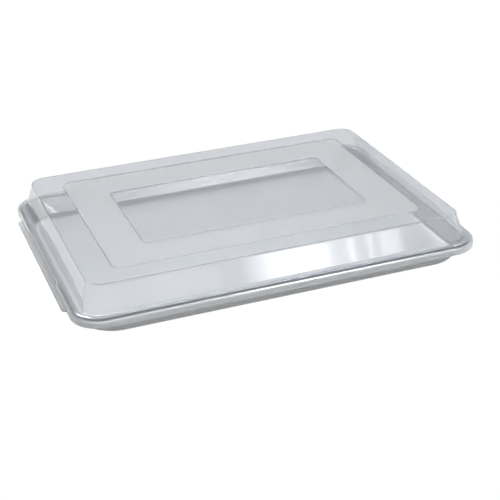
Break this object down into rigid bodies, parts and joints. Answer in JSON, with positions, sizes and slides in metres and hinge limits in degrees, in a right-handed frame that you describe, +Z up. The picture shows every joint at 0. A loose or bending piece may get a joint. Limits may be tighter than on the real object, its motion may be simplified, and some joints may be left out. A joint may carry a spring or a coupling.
{
  "type": "lidded sheet pan",
  "caption": "Shallow rectangular metal baking pan with a wire-rolled rim and a clear domed lift-off plastic lid with a stepped top and finger tabs; bakes, covers and carries food.",
  "frame": {"origin": "under the middle of the pan, on the surface that the pan stands on", "axes": "+X along the long side, +Y along the short side, +Z up, the way the lid lifts off"},
  "size_m": [0.472, 0.333, 0.056],
  "materials": {
    "pan_aluminium": "natural uncoated drawn sheet, satin with fine rolling grain",
    "rim_wire_steel": "galvanised round wire",
    "lid_plastic": "clear, faintly blue-grey moulded plastic, glossy, with a fine frosted band between the two top panels"
  },
  "bodies": {
    "pan": {"pan_shell": "pan_aluminium", "rim_wire": "rim_wire_steel"},
    "cover": {"lid": "lid_plastic"}
  },
  "joints": [
    {"name": "lid_lift", "type": "slide", "parent": "pan", "child": "cover", "axis": [0, 0, 1], "range_m": [0, 0.12]}
  ]
}
